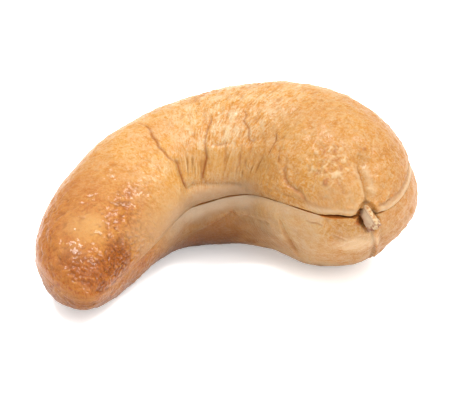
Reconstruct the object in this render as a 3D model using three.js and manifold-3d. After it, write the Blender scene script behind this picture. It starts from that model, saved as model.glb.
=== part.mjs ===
// A whole cashew kernel, peeled: two seed leaves that meet in a seam, and the stub of the root tip between
// them.
// Millimetres, +Z up. +X runs along the kernel towards its thick head, +Y towards its convex back.
// The kernel lies on its side. The origin is under the middle of it, at the surface that it lies on.

import * as THREE from 'three';
import { mergeVertices } from 'three/addons/utils/BufferGeometryUtils.js';
import Module from 'manifold-3d';

// Cross-sections at even steps from the thin tip to the thick head.
// x, y, z is the middle of the section at the height of the seam. wide is half its width across the bend,
// up its height above the seam and down its depth below.
const SECTIONS = [
  { x: -10.0, y: -8.2, z: 2.8, wide: 3.7, up: 2.4, down: 2.4 },
  { x: -9.3, y: -2.8, z: 3.6, wide: 4.1, up: 3.5, down: 3.65 },
  { x: -5.7, y: 1.6, z: 4.6, wide: 4.6, up: 4.8, down: 4.5 },
  { x: -0.9, y: 4.0, z: 4.9, wide: 5.1, up: 5.7, down: 4.95 },
  { x: 4.7, y: 2.3, z: 5.5, wide: 5.6, up: 6.7, down: 5.4 },
  { x: 7.8, y: -1.9, z: 5.9, wide: 5.7, up: 6.4, down: 5.9 },
  { x: 5.8, y: -7.6, z: 6.9, wide: 5.7, up: 4.4, down: 4.7 },
];

// The direction in which the kernel runs, in degrees from +X, and how far its middle departs from an even
// turn between the ends.
const HEADING = { tip: 130, head: -128, middle: -11 };

// The share of the length that rounds off into each end.
const TIP_CAP = 0.16;
const HEAD_CAP = 0.135;

// The seam: the slit between the halves, its rolled lips, and the share of their depth that they keep on the
// convex side.
const SLIT = 0.3;
const LIP_DEPTH = 0.3;
const LIP_HEIGHT = 0.45;
const LIP_ON_BACK = 0.3;

// On the convex side the seam climbs towards the head, and before its end it falls by a share of the climb.
const SEAM_CLIMB = { height: 1.8, start: 0.5, end: 0.88 };
const SEAM_FALL = { share: 0.72, start: 0.865, end: 0.965 };

// Folds of the surface. Each follows a short path and is cut in to its depth, which fades out over its width.
const UPPER_FOLDS = [
  // the cleft above the root tip, and the wide valley round it between the two lobes of the head
  { width: 0.6, depth: 0.5, path: [[8.8, -8.5, 7.4], [8.8, -7.9, 8.7], [8.6, -7.2, 9.7], [8.7, -6.4, 10.4]] },
  { width: 1.6, depth: 0.35, path: [[8.9, -8.5, 7.4], [8.8, -7.6, 9.2], [8.8, -5.6, 10.8]] },
  // the crease over the lip of the seam, as far as the head, and along the head
  { width: 0.6, depth: 0.35, path: [[-3.4, -1.9, 6.4], [-1.4, -0.9, 6.3], [0.7, -1.2, 6.5], [2, -2.2, 6.9]] },
  { width: 0.6, depth: 0.35, path: [[2.0, -2.2, 6.9], [2.7, -3.8, 7.5], [3.7, -5.1, 7.9]] },
  // the crease where the head begins
  { width: 0.6, depth: 0.35, path: [[3.9, -4.3, 9.6], [3.6, -4.7, 8.6], [4.2, -5.9, 8.0], [4.8, -6.7, 7.5]] },
  // the upright folds of the slope, from the left shoulder to the head
  { width: 0.6, depth: 0.3, path: [[-4.7, 3.5, 9.7], [-4.1, 0.9, 9.5], [-3.2, -0.5, 8.4]] },
  { width: 0.55, depth: 0.4, path: [[-3.0, -0.1, 8.7], [-2.5, -1.0, 7.3], [-2.0, -1.0, 6.3]] },
  { width: 0.6, depth: 0.3, path: [[-0.3, 1.4, 10.2], [-0.7, 0.2, 9.0], [-1.1, -0.8, 6.8]] },
  { width: 0.6, depth: 0.25, path: [[2.1, 0.8, 11.2], [2.2, -0.6, 10.2], [1.5, -1.0, 8.4]] },
  // the step across the front lobe
  { width: 0.7, depth: 0.2, path: [[4.6, -5.4, 9.5], [5.5, -6.1, 9.6], [6.5, -6.5, 9.9]] },
];
const LOWER_FOLDS = [
  // the cleft below the root tip
  { width: 0.6, depth: 0.35, path: [[9, -8.5, 6.4], [9.5, -7.6, 4.5], [9.8, -6.9, 3.6], [10.1, -5.9, 2.6]] },
  { width: 1.2, depth: 0.45, path: [[9.4, -8.7, 6.6], [10, -7.8, 5], [10.4, -6.6, 3.3], [10.7, -4.9, 1.6]] },
  // the curved fold where the head begins
  { width: 0.6, depth: 0.35, path: [[3.4, -4.7, 5.4], [3.9, -4.7, 4.0], [4.7, -4.5, 2.7], [5.6, -4.1, 1.7]] },
  // the roof-shaped crease under the seam
  { width: 0.6, depth: 0.2, path: [[0.0, -1.0, 3.9], [1.0, -1.2, 4.8], [2.1, -1.4, 3.9]] },
];
// At each end of its path a fold has a little of its depth, and it has all of it within this share of the
// path.
const FOLD_FADE = 0.25;
const FOLD_END = 0.08;

// The root tip: a round root held between the halves, which turns down outside into a short broken stub.
const ROOT_PATH = [[8.6, -6.4, 7.1], [8.6, -7.6, 7.3], [8.7, -8.4, 7.2], [8.8, -8.8, 6.7], [9.0, -8.9, 6.1]];
const ROOT_RADIUS = { inside: 0.35, bend: 0.5, end: 0.45 };
const ROOT_CLEARANCE = 0.3;
const ROOT_SIDES = 14;
const ROOT_STEPS = 14;

// How finely the surface is divided.
const MIDDLE_STEPS = 44;
const TIP_STEPS = 10;
const HEAD_STEPS = 15;
const SKIN_STEPS = 34;
const FACE_STEPS = 6;

const curveThrough = (points) => new THREE.CatmullRomCurve3(points, false, 'catmullrom', 0.5);
const point = ([x, y, z]) => new THREE.Vector3(x, y, z);
const middleLine = curveThrough(SECTIONS.map((s) => new THREE.Vector3(s.x, s.y, s.z)));
const spans = curveThrough(SECTIONS.map((s) => new THREE.Vector3(s.wide, s.up, s.down)));

// How much of its full size a section has, as the ends round off.
function roundOff(along) {
  const fromEnd = Math.min(along / TIP_CAP, (1 - along) / HEAD_CAP, 1);
  return Math.sqrt(Math.max(0, 1 - (1 - fromEnd) ** 2));
}

// The level direction across a section, from the concave side to the convex one.
function acrossAt(along) {
  const evenTurn = THREE.MathUtils.lerp(HEADING.tip, HEADING.head, along);
  const degrees = evenTurn + HEADING.middle * 4 * along * (1 - along);
  const heading = THREE.MathUtils.degToRad(degrees);
  return new THREE.Vector3(-Math.sin(heading), Math.cos(heading), 0);
}

// How far the seam on the convex side lies over the middle of its section.
function seamClimb(along) {
  const rise = THREE.MathUtils.smoothstep(along, SEAM_CLIMB.start, SEAM_CLIMB.end);
  const fall = THREE.MathUtils.smoothstep(along, SEAM_FALL.start, SEAM_FALL.end);
  return SEAM_CLIMB.height * rise * (1 - SEAM_FALL.share * fall) * roundOff(along);
}

// A point of the smooth skin of one half. half is 1 for the upper one and -1 for the lower one.
// turn runs from 0 at the concave seam to 1 at the convex seam, and the two halves meet where it has climbed.
const LEAST_REACH = 0.1;
const MOST_LEAN = 0.9;
const WHOLE_REACH = 1;
function smoothSkin(half, along, turn) {
  const size = roundOff(along);
  const span = spans.getPoint(along);
  const lean = Math.asin(Math.min(seamClimb(along) / Math.max(span.y * size, LEAST_REACH), MOST_LEAN));
  const angle = (Math.PI - half * lean) * turn;
  const upright = half * Math.sin(angle);
  const place = middleLine.getPoint(along);
  place.addScaledVector(acrossAt(along), -Math.cos(angle) * span.x * size);
  place.z += upright * (upright > 0 ? span.y : span.z) * size;
  const closed = Math.sin(Math.PI * turn) * Math.min(1, span.y * size / WHOLE_REACH);
  place.z += half * SLIT / 2 * (1 - closed);
  return place;
}

// The outward direction of the smooth skin.
const NUDGE = 1e-3;
function outward(half, along, turn) {
  const alongStep = smoothSkin(half, Math.min(along + NUDGE, 1), turn);
  alongStep.sub(smoothSkin(half, Math.max(along - NUDGE, 0), turn));
  const turnStep = smoothSkin(half, along, Math.min(turn + NUDGE, 1));
  turnStep.sub(smoothSkin(half, along, Math.max(turn - NUDGE, 0)));
  return alongStep.cross(turnStep).multiplyScalar(half).normalize();
}

// How deep a fold cuts at a place: a smooth valley about its path, which fades out at both ends.
const nearest = new THREE.Vector3();
function foldDepth(fold, place) {
  let closest = Infinity;
  let share = 0;
  const pieces = fold.path.length - 1;
  for (let i = 0; i < pieces; i += 1) {
    const piece = new THREE.Line3(point(fold.path[i]), point(fold.path[i + 1]));
    piece.closestPointToPoint(place, true, nearest);
    const distance = nearest.distanceTo(place);
    if (distance < closest) {
      closest = distance;
      share = (i + piece.closestPointToPointParameter(place, true)) / pieces;
    }
  }
  const fade = THREE.MathUtils.smoothstep(Math.min(share, 1 - share) + FOLD_END, 0, FOLD_FADE);
  return fold.depth * fade * Math.exp(-((closest / fold.width) ** 2));
}

// A point of the finished skin: the smooth one with its lip rolled in at the seam, and its folds.
function skin(half, along, turn) {
  const place = smoothSkin(half, along, turn);
  const direction = outward(half, along, turn);
  const onBack = THREE.MathUtils.smoothstep(turn, 0.35, 0.65);
  const overSeam = Math.abs(place.z - middleLine.getPoint(along).z - seamClimb(along) * onBack) - SLIT / 2;
  const lipDepth = LIP_DEPTH * roundOff(along) * THREE.MathUtils.lerp(1, LIP_ON_BACK, onBack);
  let sink = lipDepth * Math.exp(-((overSeam / LIP_HEIGHT) ** 2));
  for (const fold of half > 0 ? UPPER_FOLDS : LOWER_FOLDS) sink += foldDepth(fold, place);
  return place.addScaledVector(direction, -sink);
}

// Even steps along the middle, and steps that keep an even spacing round the ends.
function stepsAlong() {
  const steps = [];
  const roundEnd = (share) => 1 - Math.cos(Math.PI / 2 * share);
  for (let i = 1; i < TIP_STEPS; i += 1) steps.push(TIP_CAP * roundEnd(i / TIP_STEPS));
  for (let i = 0; i <= MIDDLE_STEPS; i += 1) {
    steps.push(THREE.MathUtils.lerp(TIP_CAP, 1 - HEAD_CAP, i / MIDDLE_STEPS));
  }
  for (let i = HEAD_STEPS - 1; i > 0; i -= 1) steps.push(1 - HEAD_CAP * roundEnd(i / HEAD_STEPS));
  return steps;
}

// A closed solid from rings of points, each ring with as many points as the next, and a point at either end.
function loft(rings, start, end) {
  const around = rings[0].length;
  const points = [start, ...rings.flat(), end];
  const last = points.length - 1;
  const faces = [];
  for (let j = 0; j < around; j += 1) {
    const next = (j + 1) % around;
    faces.push(0, 1 + next, 1 + j);
    for (let i = 0; i < rings.length - 1; i += 1) {
      const here = 1 + i * around;
      const there = here + around;
      faces.push(here + j, here + next, there + j, here + next, there + next, there + j);
    }
    const lastRing = last - around;
    faces.push(last, lastRing + j, lastRing + next);
  }
  const geometry = new THREE.BufferGeometry();
  geometry.setAttribute('position', new THREE.Float32BufferAttribute(points.flatMap((p) => p.toArray()), 3));
  geometry.setIndex(faces);
  return geometry;
}

// One half of the kernel: the skin from the concave seam to the convex one, and the face towards the other
// half.
function halfKernel(half) {
  const rings = stepsAlong().map((along) => {
    const ring = [];
    for (let j = 0; j <= SKIN_STEPS; j += 1) ring.push(skin(half, along, j / SKIN_STEPS));
    const [concave, convex] = [ring[0], ring[SKIN_STEPS]];
    for (let k = 1; k < FACE_STEPS; k += 1) ring.push(convex.clone().lerp(concave, k / FACE_STEPS));
    return half > 0 ? ring.reverse() : ring;
  });
  const tipEnd = middleLine.getPoint(0);
  const headEnd = middleLine.getPoint(1);
  tipEnd.z += half * SLIT / 2;
  headEnd.z += half * SLIT / 2;
  return loft(rings, tipEnd, headEnd);
}

// The root tip as a tube along its bent path, grown by a clearance where it is used to cut its socket.
function rootTip(clearance) {
  const path = curveThrough(ROOT_PATH.map(point));
  const frames = path.computeFrenetFrames(ROOT_STEPS, false);
  const rings = [];
  for (let i = 0; i <= ROOT_STEPS; i += 1) {
    const share = i / ROOT_STEPS;
    const swell = Math.sin(Math.PI * share);
    const radius = THREE.MathUtils.lerp(ROOT_RADIUS.inside, ROOT_RADIUS.end, share) * (1 - swell)
      + ROOT_RADIUS.bend * swell + clearance;
    const centre = path.getPoint(share);
    const ring = [];
    for (let j = 0; j < ROOT_SIDES; j += 1) {
      const angle = 2 * Math.PI * j / ROOT_SIDES;
      const place = centre.clone().addScaledVector(frames.normals[i], radius * Math.cos(angle));
      ring.push(place.addScaledVector(frames.binormals[i], radius * Math.sin(angle)));
    }
    rings.push(ring);
  }
  const ends = [0, 1].map((share) => {
    const outwards = path.getTangent(share).multiplyScalar(share > 0 ? clearance : -clearance);
    return path.getPoint(share).add(outwards);
  });
  return loft(rings, ends[0], ends[1]);
}

const wasm = await Module();
wasm.setup();

// A closed geometry as a solid that can be cut, and back.
const WELD = 1e-5;
function toSolid(geometry) {
  const bare = geometry.clone();
  bare.deleteAttribute('normal');
  bare.deleteAttribute('uv');
  const welded = mergeVertices(bare, WELD);
  return new wasm.Manifold(new wasm.Mesh({
    numProp: 3,
    vertProperties: new Float32Array(welded.attributes.position.array),
    triVerts: new Uint32Array(welded.index.array),
  }));
}

function toGeometry(solid) {
  const mesh = solid.getMesh();
  const geometry = new THREE.BufferGeometry();
  geometry.setAttribute('position', new THREE.Float32BufferAttribute(mesh.vertProperties, 3));
  geometry.setIndex(Array.from(mesh.triVerts));
  geometry.computeVertexNormals();
  return geometry;
}

// What lies below the surface that the kernel rests on. Cutting it off leaves the small flat spots.
const UNDER_SIZE = 40;
const under = new THREE.BoxGeometry(UNDER_SIZE, UNDER_SIZE, UNDER_SIZE).translate(0, 0, -UNDER_SIZE / 2);

const socket = toSolid(rootTip(ROOT_CLEARANCE));
const upper = toSolid(halfKernel(1)).subtract(socket);
const lower = toSolid(halfKernel(-1)).subtract(socket).subtract(toSolid(under));

const kernel = new THREE.Group();
function addPiece(name, geometry, color, roughness) {
  const material = new THREE.MeshStandardMaterial({ color, roughness, metalness: 0 });
  const mesh = new THREE.Mesh(geometry, material);
  mesh.name = name;
  kernel.add(mesh);
}

addPiece('upper_cotyledon', toGeometry(upper), 0xdba868, 0.5);
addPiece('lower_cotyledon', toGeometry(lower), 0xcfa06a, 0.55);
addPiece('radicle', toGeometry(toSolid(rootTip(0))), 0xb89a78, 0.7);

export default kernel;
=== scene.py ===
# A whole cashew kernel, peeled: two seed leaves that meet in a seam, and the stub of the root tip between
# them. Shapes are worked out in millimetres, in the part's own frame, and made in metres.

import bpy
import numpy as np
from mathutils import Matrix, Vector


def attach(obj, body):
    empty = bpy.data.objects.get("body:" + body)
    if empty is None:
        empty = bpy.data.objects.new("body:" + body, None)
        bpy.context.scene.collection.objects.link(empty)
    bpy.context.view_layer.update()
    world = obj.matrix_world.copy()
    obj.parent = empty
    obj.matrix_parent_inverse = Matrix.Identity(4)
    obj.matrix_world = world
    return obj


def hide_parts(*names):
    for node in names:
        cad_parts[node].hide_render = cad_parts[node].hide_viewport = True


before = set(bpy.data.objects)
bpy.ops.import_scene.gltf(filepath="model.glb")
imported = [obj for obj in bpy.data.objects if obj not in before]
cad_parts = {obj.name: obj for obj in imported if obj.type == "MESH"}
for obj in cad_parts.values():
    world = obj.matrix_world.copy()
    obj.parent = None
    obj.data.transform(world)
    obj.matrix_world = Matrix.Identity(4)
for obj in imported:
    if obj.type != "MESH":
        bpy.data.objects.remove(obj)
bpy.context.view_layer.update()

METRES = 0.001
BODY = "root"

# Camera

VIEW_AZIMUTH = -13.7
VIEW_ELEVATION = 27.4
VIEW_ROLL = -0.6
VIEW_DISTANCE = 0.375
VIEW_MOVED_RIGHT = 0.00103
VIEW_MOVED_UP = 0.00425
SENSOR_WIDTH = 36.0
PHOTO_WIDTH = 460
PIXELS_PER_METRE = 14200
NEAREST_SEEN = 0.01
FURTHEST_SEEN = 10


def make_camera():
    azimuth, elevation, roll = np.radians([VIEW_AZIMUTH, VIEW_ELEVATION, VIEW_ROLL])
    back = Vector((
        np.sin(azimuth) * np.cos(elevation),
        -np.cos(azimuth) * np.cos(elevation),
        np.sin(elevation),
    ))
    level = Vector((np.cos(azimuth), np.sin(azimuth), 0))
    steep = back.cross(level)
    right = level * np.cos(roll) - steep * np.sin(roll)
    up = level * np.sin(roll) + steep * np.cos(roll)
    lens = bpy.data.cameras.new("camera")
    lens.sensor_width = SENSOR_WIDTH
    lens.lens = PIXELS_PER_METRE * VIEW_DISTANCE / PHOTO_WIDTH * SENSOR_WIDTH
    lens.clip_start = NEAREST_SEEN
    lens.clip_end = FURTHEST_SEEN
    camera = bpy.data.objects.new("camera", lens)
    place = back * VIEW_DISTANCE + right * VIEW_MOVED_RIGHT + up * VIEW_MOVED_UP
    turn = Matrix((right, up, back)).transposed().to_4x4()
    camera.matrix_world = Matrix.Translation(place) @ turn
    bpy.context.collection.objects.link(camera)
    bpy.context.scene.camera = camera


# Light

# Each round lamp points at the kernel: its name, its place, how wide it is, and its watts.
LAMPS = [
    ("top_light", (-0.15, 0.1, 0.7), 1.2, 3.0),
    ("front_light", (0.25, -0.45, 0.5), 0.7, 3.0),
    ("left_glint", (-0.2, 0.0, 0.6), 0.2, 3.4),
    ("right_glint", (0.28, -0.15, 0.55), 0.2, 2.2),
]
WHITE = (1, 1, 1, 1)
STUDIO_STRENGTH = 1.05


def make_lamp(name, place, size, watts):
    light = bpy.data.lights.new(name, "AREA")
    light.shape = "DISK"
    light.size = size
    light.energy = watts
    lamp = bpy.data.objects.new(name, light)
    lamp.location = place
    lamp.rotation_euler = (-Vector(place)).to_track_quat("-Z", "Y").to_euler()
    bpy.context.collection.objects.link(lamp)


def make_light():
    world = bpy.data.worlds.new("studio")
    world.use_nodes = True
    background = world.node_tree.nodes["Background"]
    background.inputs["Color"].default_value = WHITE
    background.inputs["Strength"].default_value = STUDIO_STRENGTH
    bpy.context.scene.world = world
    bpy.context.scene.view_settings.view_transform = "Standard"
    for name, place, size, watts in LAMPS:
        make_lamp(name, place, size, watts)


# Shader maths

FLESH_SHADE = 0.385
NOISE_ROUGHNESS = 0.55


def light_of(level):
    """The amount of light that a level of a screen colour stands for, both from 0 to 1."""
    return level / 12.92 if level <= 0.04045 else ((level + 0.055) / 1.055) ** 2.4


def linear(colour, shade=FLESH_SHADE):
    """A colour written as RRGGBB, in the shader's own numbers, made darker to suit the strong light."""
    levels = [int(colour[start:start + 2], 16) / 255 for start in (0, 2, 4)]
    return tuple(shade * light_of(level) for level in levels) + (1.0,)


class Value:
    """A number, colour or vector that varies over a surface. The operators are for numbers."""

    def __init__(self, finish, socket):
        self.finish = finish
        self.socket = socket

    def maths(self, operation, first, second):
        return self.finish.node("Math", {"operation": operation}, {0: first, 1: second})

    def __add__(self, other):
        return self.maths("ADD", self, other)

    def __mul__(self, other):
        return self.maths("MULTIPLY", self, other)

    def __sub__(self, other):
        return self.maths("SUBTRACT", self, other)

    def __rsub__(self, other):
        return self.maths("SUBTRACT", other, self)

    __radd__ = __add__
    __rmul__ = __mul__


class Finish:
    """A material, and the short ways in which its nodes are made."""

    def __init__(self, name):
        self.material = bpy.data.materials.new(name)
        self.material.use_nodes = True
        self.tree = self.material.node_tree
        self.tree.nodes.clear()
        self.place = self.node("TexCoord", {}, {}, "Object")

    def node(self, kind, settings, sockets, output=0):
        """A node of that kind, with its settings, and the values or links of its sockets."""
        made = self.tree.nodes.new("ShaderNode" + kind)
        for name, setting in settings.items():
            setattr(made, name, setting)
        for name, value in sockets.items():
            if isinstance(value, Value):
                self.tree.links.new(value.socket, made.inputs[name])
            else:
                made.inputs[name].default_value = value
        return Value(self, made.outputs[output]) if made.outputs else None

    def mask(self, name, output="Fac"):
        """A mask that was worked out for each point of the mesh."""
        return self.node("Attribute", {"attribute_name": name}, {}, output)

    def masks(self, *names):
        return [self.mask(name) for name in names]

    def noise_at(self, field, scales, detail, distortion):
        """Noise from 0 to 1 over a vector field that is first scaled along its three axes."""
        spot = self.node("VectorMath", {"operation": "MULTIPLY"}, {0: field, 1: scales})
        sockets = {
            "Vector": spot,
            "Scale": 1.0,
            "Detail": detail,
            "Roughness": NOISE_ROUGHNESS,
            "Distortion": distortion,
        }
        return self.node("TexNoise", {}, sockets)

    def noise(self, size, detail, distortion=0.0):
        """Noise whose patches are about that many millimetres across."""
        return self.noise_at(self.place, (1 / size / METRES,) * 3, detail, distortion)

    def flow_noise(self, wide, long, detail, distortion):
        """Noise in streaks that run around the kernel, of that width and length in millimetres."""
        return self.noise_at(self.mask("flow", "Vector"), (1 / wide, 1 / long, 1.0), detail, distortion)

    def between(self, value, low, high):
        """A smooth step from 0 at low to 1 at high."""
        sockets = {"Value": value, "From Min": low, "From Max": high}
        return self.node("MapRange", {"interpolation_type": "SMOOTHSTEP"}, sockets)

    def mix(self, below, above, amount):
        """One colour or colour field laid over another by an amount."""
        return self.node("Mix", {"data_type": "RGBA"}, {0: amount, 6: below, 7: above}, 2)

    def bump(self, height, millimetres):
        return self.node("Bump", {}, {"Height": height, "Distance": millimetres * METRES})

    def surface(self, sockets):
        shader = self.node("BsdfPrincipled", {}, sockets)
        self.node("OutputMaterial", {}, {"Surface": shader})
        return self.material


# Noise and steps for shapes

LATTICE = 256
LATTICE_SEED = 41
LATTICE_TILT = 37
LATTICE_AXIS = (0.4, 0.7, 0.5)
SEED_SHIFT = 17.31
NOISE_GAIN = 1.6

lattice_draw = np.random.RandomState(LATTICE_SEED)
LATTICE_ORDER = lattice_draw.permutation(LATTICE)
LATTICE_SLOPES = lattice_draw.normal(size=(LATTICE, 3))
LATTICE_SLOPES /= np.linalg.norm(LATTICE_SLOPES, axis=1, keepdims=True)
LATTICE_TURN = np.array(Matrix.Rotation(np.radians(LATTICE_TILT), 3, Vector(LATTICE_AXIS)))


def unevenness(points, size, seed):
    """Smooth noise from about -1 to 1 whose patches are about that many millimetres across."""
    spot = points @ LATTICE_TURN / size + SEED_SHIFT * seed
    cell = np.floor(spot).astype(int)
    inside = spot - cell
    ease = inside ** 3 * (inside * (inside * 6 - 15) + 10)
    total = np.zeros(len(points))
    for corner in np.ndindex(2, 2, 2):
        x, y, z = ((cell + corner) % LATTICE).T
        column = LATTICE_ORDER[(LATTICE_ORDER[x] + y) % LATTICE]
        slopes = LATTICE_SLOPES[LATTICE_ORDER[(column + z) % LATTICE]]
        weight = np.prod(np.where(corner, ease, 1 - ease), axis=1)
        total += weight * np.sum(slopes * (inside - corner), axis=1)
    return total * NOISE_GAIN


def rough(points, size, seed, octaves=3):
    """Noise with finer noise on top, each octave half the size and half the height of the one before."""
    total = np.zeros(len(points))
    for octave in range(octaves):
        total += unevenness(points, size / 2 ** octave, seed + octave) / 2 ** octave
    return total


def step(values, low, high):
    """A smooth step from 0 at low to 1 at high."""
    share = np.clip((values - low) / (high - low), 0, 1)
    return share * share * (3 - 2 * share)


def plateau(values, start, full, fading, end):
    """1 from full to fading, and 0 before start and after end."""
    return step(values, start, full) * (1 - step(values, fading, end))


def hill(values, width):
    """1 where the values are 0, falling off to either side."""
    return np.exp(-(values / width) ** 2)


def within(gaps, limit, width):
    """1 up to a limit, falling off past it."""
    return hill(np.maximum(gaps - limit, 0), width)


# The form of the kernel, as the part's own source has it

# x, y and z of a section's middle at the height of the seam, half its width, its height above the seam and
# its depth below it, at even steps from the thin tip to the thick head.
SECTIONS = np.array([
    (-10.0, -8.2, 2.8, 3.7, 2.4, 2.4),
    (-9.3, -2.8, 3.6, 4.1, 3.5, 3.65),
    (-5.7, 1.6, 4.6, 4.6, 4.8, 4.5),
    (-0.9, 4.0, 4.9, 5.1, 5.7, 4.95),
    (4.7, 2.3, 5.5, 5.6, 6.7, 5.4),
    (7.8, -1.9, 5.9, 5.7, 6.4, 5.9),
    (5.8, -7.6, 6.9, 5.7, 4.4, 4.7),
])
HEADING_TIP = 130
HEADING_HEAD = -128
HEADING_MIDDLE = -11
TIP_CAP = 0.16
HEAD_CAP = 0.135
SEAM_CLIMB = 1.8
SEAM_CLIMB_START = 0.5
SEAM_CLIMB_END = 0.88
SEAM_FALL = 0.72
SEAM_FALL_START = 0.865
SEAM_FALL_END = 0.965
LEAST_HEIGHT = 0.1
MOST_LEAN = 0.9

# The inner corner of the bend is eased: where it is along the kernel, how far that reaches either way, in how
# many parts it is averaged, and the least amount that counts.
BEND_CORNER = 0.8
BEND_REACH = 0.13
BEND_PARTS = 4
BEND_EASED = 0.002

# A small step along or around, from which a direction is worked out.
NUDGE = 1e-3


def curve_through(points, share):
    """Places on a smooth curve through evenly spaced points."""
    points = np.asarray(points, float)
    ends = 2 * points[0] - points[1], 2 * points[-1] - points[-2]
    points = np.vstack([ends[0], points, ends[1]])
    last = len(points) - 3
    scaled = np.clip(share, 0, 1) * last
    start = np.minimum(scaled.astype(int), last - 1)
    part = (scaled - start)[:, None]
    before, here, there, after = (points[start + k] for k in range(4))
    leave, arrive = (there - before) / 2, (after - here) / 2
    return (
        (2 * part ** 3 - 3 * part ** 2 + 1) * here
        + (part ** 3 - 2 * part ** 2 + part) * leave
        + (3 * part ** 2 - 2 * part ** 3) * there
        + (part ** 3 - part ** 2) * arrive
    )


def round_off(along):
    """How large a section is, against its full size: both ends are rounded off."""
    from_end = np.minimum(np.minimum(along / TIP_CAP, (1 - along) / HEAD_CAP), 1)
    return np.sqrt(np.maximum(0, 1 - (1 - from_end) ** 2))


def across_at(along):
    """The level direction across the kernel, from its concave side to its convex one."""
    turned = HEADING_TIP + (HEADING_HEAD - HEADING_TIP) * along + HEADING_MIDDLE * 4 * along * (1 - along)
    heading = np.radians(turned)
    return np.stack([-np.sin(heading), np.cos(heading), np.zeros(len(along))], axis=1)


def seam_climb(along):
    """How far the convex seam lies above the middle of its section."""
    share = step(along, SEAM_CLIMB_START, SEAM_CLIMB_END)
    share *= 1 - SEAM_FALL * step(along, SEAM_FALL_START, SEAM_FALL_END)
    return SEAM_CLIMB * share * round_off(along)


def seam_height(along, turn):
    """The height of the seam on that side of the kernel."""
    return curve_through(SECTIONS, along)[:, 2] + seam_climb(along) * step(turn, 0.3, 0.7)


def bent_skin(half, along, turn):
    """A point of one half before the inner corner of its bend is eased."""
    size = round_off(along)
    section = curve_through(SECTIONS, along)
    climb = seam_climb(along) / np.maximum(section[:, 4] * size, LEAST_HEIGHT)
    lean = np.arcsin(np.minimum(climb, MOST_LEAN))
    angle = (np.pi - half * lean) * turn
    upright = half * np.sin(angle)
    span = np.where(upright > 0, section[:, 4], section[:, 5])
    place = section[:, :3] - across_at(along) * (np.cos(angle) * section[:, 3] * size)[:, None]
    place[:, 2] += upright * span * size
    return place


def smooth_skin(half, along, turn):
    """A point of the smooth skin of one half. half is 1 above the seam and -1 below it. turn runs from 0 at
    the concave seam to 1 at the convex one."""
    place = bent_skin(half, along, turn)
    amount = hill(along - BEND_CORNER, BEND_REACH) * (1 - step(turn, 0.1, 0.42))
    near = np.flatnonzero(amount > BEND_EASED)
    eased = np.zeros((len(near), 3))
    total = 0
    for part in range(-BEND_PARTS, BEND_PARTS + 1):
        shift = BEND_REACH * part / BEND_PARTS
        weight = hill(part / BEND_PARTS, 0.8)
        total += weight
        eased += weight * bent_skin(half, np.clip(along[near] + shift, 0, 1), turn[near])
    place[near] += amount[near, None] * (eased / total - place[near])
    return place


def outward_from(half, along, turn):
    """The direction straight out of the smooth skin."""
    ahead = smooth_skin(half, np.minimum(along + NUDGE, 1), turn)
    behind = smooth_skin(half, np.maximum(along - NUDGE, 0), turn)
    over = smooth_skin(half, along, np.minimum(turn + NUDGE, 1))
    under = smooth_skin(half, along, np.maximum(turn - NUDGE, 0))
    normal = half * np.cross(ahead - behind, over - under)
    return normal / np.maximum(np.linalg.norm(normal, axis=1, keepdims=True), 1e-12)


# Distances to lines and spots on the skin

def near_path(points, path):
    """How far each point is from a path, at which share of the path it is nearest, the step from there to
    the point, and the direction of the path there."""
    path = np.asarray(path, float)
    closest = np.full(len(points), np.inf)
    share = np.zeros(len(points))
    apart = np.zeros_like(points)
    run = np.zeros_like(points)
    pieces = len(path) - 1
    for i in range(pieces):
        piece = path[i + 1] - path[i]
        part = np.clip((points - path[i]) @ piece / (piece @ piece), 0, 1)
        gap = points - path[i] - part[:, None] * piece
        distance = np.linalg.norm(gap, axis=1)
        nearer = distance < closest
        closest = np.where(nearer, distance, closest)
        share = np.where(nearer, (i + part) / pieces, share)
        apart[nearer] = gap[nearer]
        run[nearer] = piece / np.linalg.norm(piece)
    return closest, share, apart, run


def path_gap(points, path):
    """How far each point is from a path."""
    return near_path(points, path)[0]


def spot_gap(points, spot):
    """How far each point is from a spot."""
    return np.linalg.norm(points - np.asarray(spot, float), axis=1)


# Folds and creases of the skin

CLEFT = [
    (8.7, -8.7, 6.9), (8.8, -8.4, 7.9), (8.86, -8.18, 8.35), (8.77, -7.94, 8.79), (8.74, -7.6, 9.24),
    (8.63, -7.23, 9.65), (8.5, -6.88, 9.99), (8.35, -6.5, 10.3),
]
ROOF_CREASE = [
    (-1.6, -1.2, 2.4), (-0.6, -0.8, 3.3), (0.02, -0.9, 3.63), (0.49, -1.03, 3.99), (0.89, -1.15, 4.42),
    (1.31, -1.19, 4.09),
]

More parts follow.
